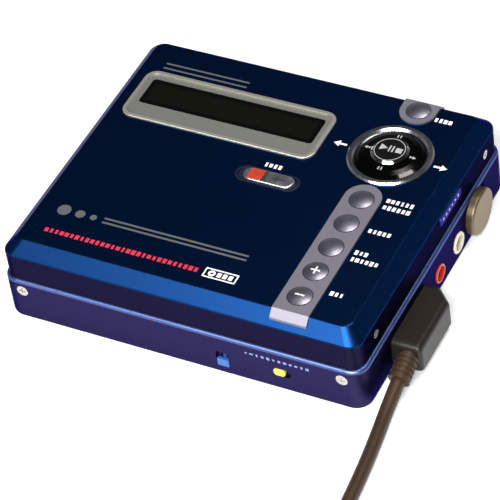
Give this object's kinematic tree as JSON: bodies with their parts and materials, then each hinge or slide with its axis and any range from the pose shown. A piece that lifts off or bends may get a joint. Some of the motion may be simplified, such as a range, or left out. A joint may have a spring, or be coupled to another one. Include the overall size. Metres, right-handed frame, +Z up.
{
  "type": "portable minidisc player",
  "caption": "Pocket disc player with a hinged blue lid over a cartridge holder, display window, key strip, round control pad, side sockets and a plugged-in data lead.",
  "frame": {"origin": "middle of the underside of the lower case, on the surface it rests on", "axes": "+X to the right along the front edge, towards the sockets; +Y to the back, where the lid is hinged; +Z up"},
  "size_m": [0.093, 0.1763, 0.0218],
  "materials": {
    "lid_paint": "deep metallic blue",
    "case_paint": "violet blue, satin",
    "steel": "satin",
    "sheet_steel": "matte",
    "plate_silver": "brushed, mauve tint",
    "rim_silver": "satin",
    "bright_chrome": "polished",
    "key_black": "gloss",
    "window": "gloss, dark tint",
    "display_panel": "matte",
    "board_green": "matte",
    "chip_black": "matte",
    "contact_gold": "satin",
    "dark_plastic": "matte",
    "cell_wrap": "satin",
    "cream_plastic": "gloss",
    "red_plastic": "gloss",
    "yellow_plastic": "gloss",
    "blue_plastic": "gloss",
    "gear_white": "matte",
    "lens_glass": "gloss",
    "lead_rubber": "satin",
    "plug_plastic": "satin"
  },
  "bodies": {
    "base": {"base_case": "case_paint", "case_screws": "steel", "pivot_pins": "steel", "deck_plate": "sheet_steel", "battery_bay": "dark_plastic", "battery": "cell_wrap", "battery_contact": "contact_gold", "main_board": "board_green", "board_chips": "chip_black", "phones_socket": "cream_plastic", "mic_socket": "red_plastic", "data_socket": "dark_plastic", "latch_spring": "steel", "spindle_motor": "sheet_steel", "guide_rods": "steel", "sled_motor": "sheet_steel", "data_plug": "plug_plastic", "plug_boot": "lead_rubber", "lead": "lead_rubber", "lead_coil": "lead_rubber", "host_plug": "plug_plastic", "host_shell": "steel"},
    "door": {"battery_door": "case_paint"},
    "table": {"turntable": "steel"},
    "sled": {"pickup_sled": "dark_plastic", "objective_lens": "lens_glass"},
    "screw": {"lead_screw": "steel"},
    "idler": {"idler_gear": "gear_white"},
    "pinion": {"motor_pinion": "gear_white"},
    "latch": {"open_knob": "rim_silver", "latch_bar": "sheet_steel"},
    "mode": {"mode_switch": "blue_plastic"},
    "hold": {"hold_switch": "yellow_plastic"},
    "holder": {"cartridge_holder": "sheet_steel"},
    "lid": {"lid_shell": "lid_paint", "lid_screws": "steel", "lid_frame": "sheet_steel", "lid_board": "board_green", "lid_switches": "contact_gold", "display_module": "display_panel", "display_bezel": "rim_silver", "display_lens": "window", "strip_plate": "plate_silver", "menu_plate": "plate_silver", "control_ring": "bright_chrome", "record_cup": "dark_plastic", "side_plate": "case_paint", "head_rail": "steel"},
    "head": {"head_carriage": "dark_plastic", "write_head": "sheet_steel"},
    "menu": {"menu_button": "bright_chrome"},
    "rocker": {"rocker_ring": "dark_plastic"},
    "key": {"control_key": "key_black"},
    "centre": {"centre_button": "bright_chrome"},
    "record": {"record_knob": "bright_chrome"},
    "button_1": {"strip_button_1": "plate_silver"},
    "button_2": {"strip_button_2": "plate_silver"},
    "button_3": {"strip_button_3": "plate_silver"},
    "button_4": {"strip_button_4": "plate_silver"},
    "button_5": {"strip_button_5": "plate_silver"}
  },
  "joints": [
    {"name": "lid_hinge", "type": "hinge", "parent": "base", "child": "lid", "pos_m": [0, 0.03495, 0.0115], "axis": [-1, 0, 0], "range_deg": [0, 32]},
    {"name": "holder_tilt", "type": "hinge", "parent": "base", "child": "holder", "pos_m": [0, 0.031, 0.0116], "axis": [-1, 0, 0], "range_deg": [0, 9]},
    {"name": "door_hinge", "type": "hinge", "parent": "base", "child": "door", "pos_m": [-0.0409, -0.0139, 0.0053], "axis": [0, 0, -1], "range_deg": [0, 90]},
    {"name": "turntable_spin", "type": "hinge", "parent": "base", "child": "table", "pos_m": [0, 0, 0.011], "axis": [0, 0, 1], "continuous": true},
    {"name": "sled_slide", "type": "slide", "parent": "base", "child": "sled", "axis": [-1, 0, 0], "range_m": [0, 0.0153]},
    {"name": "screw_spin", "type": "hinge", "parent": "base", "child": "screw", "pos_m": [-0.02, -0.0112, 0.0072], "axis": [1, 0, 0], "range_deg": [0, 2296]},
    {"name": "idler_spin", "type": "hinge", "parent": "base", "child": "idler", "pos_m": [-0.0043, -0.00884, 0.00526], "axis": [1, 0, 0], "range_deg": [-2296, 0]},
    {"name": "pinion_spin", "type": "hinge", "parent": "base", "child": "pinion", "pos_m": [-0.0043, -0.0064, 0.0049], "axis": [1, 0, 0], "range_deg": [0, 3826]},
    {"name": "head_slide", "type": "slide", "parent": "lid", "child": "head", "axis": [-1, 0, 0], "range_m": [0, 0.0153]},
    {"name": "open_slide", "type": "slide", "parent": "base", "child": "latch", "axis": [0, 1, 0], "range_m": [0, 0.003], "stiffness_N_per_m": 300, "deforming": ["latch_spring"]},
    {"name": "mode_slide", "type": "slide", "parent": "base", "child": "mode", "axis": [0, 0, 1], "range_m": [0, 0.0018]},
    {"name": "hold_slide", "type": "slide", "parent": "base", "child": "hold", "axis": [1, 0, 0], "range_m": [0, 0.0011]},
    {"name": "button_1_press", "type": "slide", "parent": "lid", "child": "button_1", "axis": [0, 0, -1], "range_m": [0, 0.0003], "stiffness_N_per_m": 1000},
    {"name": "button_2_press", "type": "slide", "parent": "lid", "child": "button_2", "axis": [0, 0, -1], "range_m": [0, 0.0003], "stiffness_N_per_m": 1000},
    {"name": "button_3_press", "type": "slide", "parent": "lid", "child": "button_3", "axis": [0, 0, -1], "range_m": [0, 0.0003], "stiffness_N_per_m": 1000},
    {"name": "button_4_press", "type": "slide", "parent": "lid", "child": "button_4", "axis": [0, 0, -1], "range_m": [0, 0.0003], "stiffness_N_per_m": 1000},
    {"name": "button_5_press", "type": "slide", "parent": "lid", "child": "button_5", "axis": [0, 0, -1], "range_m": [0, 0.0003], "stiffness_N_per_m": 1000},
    {"name": "menu_press", "type": "slide", "parent": "lid", "child": "menu", "axis": [0, 0, -1], "range_m": [0, 0.0003], "stiffness_N_per_m": 1000},
    {"name": "centre_press", "type": "slide", "parent": "lid", "child": "centre", "axis": [0, 0, -1], "range_m": [0, 0.0003], "stiffness_N_per_m": 1000},
    {"name": "rocker_tilt", "type": "hinge", "parent": "lid", "child": "rocker", "pos_m": [0.0252, 0.0156, 0.01845], "axis": [0, 1, 0], "range_deg": [-2.2, 2.2], "stiffness_Nm_per_rad": 0.05},
    {"name": "key_tilt", "type": "hinge", "parent": "rocker", "child": "key", "pos_m": [0.0252, 0.0156, 0.0187], "axis": [1, 0, 0], "range_deg": [-2.2, 2.2], "stiffness_Nm_per_rad": 0.05},
    {"name": "record_slide", "type": "slide", "parent": "lid", "child": "record", "axis": [-1, 0, 0], "range_m": [0, 0.0015], "stiffness_N_per_m": 200}
  ],
  "couplings": [
    {"joint": "holder_tilt", "follows": "lid_hinge", "ratio": 0.28},
    {"joint": "screw_spin", "follows": "sled_slide", "rad_per_m": 2618},
    {"joint": "idler_spin", "follows": "sled_slide", "rad_per_m": -2618},
    {"joint": "pinion_spin", "follows": "sled_slide", "rad_per_m": 4363.3},
    {"joint": "head_slide", "follows": "sled_slide", "ratio": 1}
  ]
}
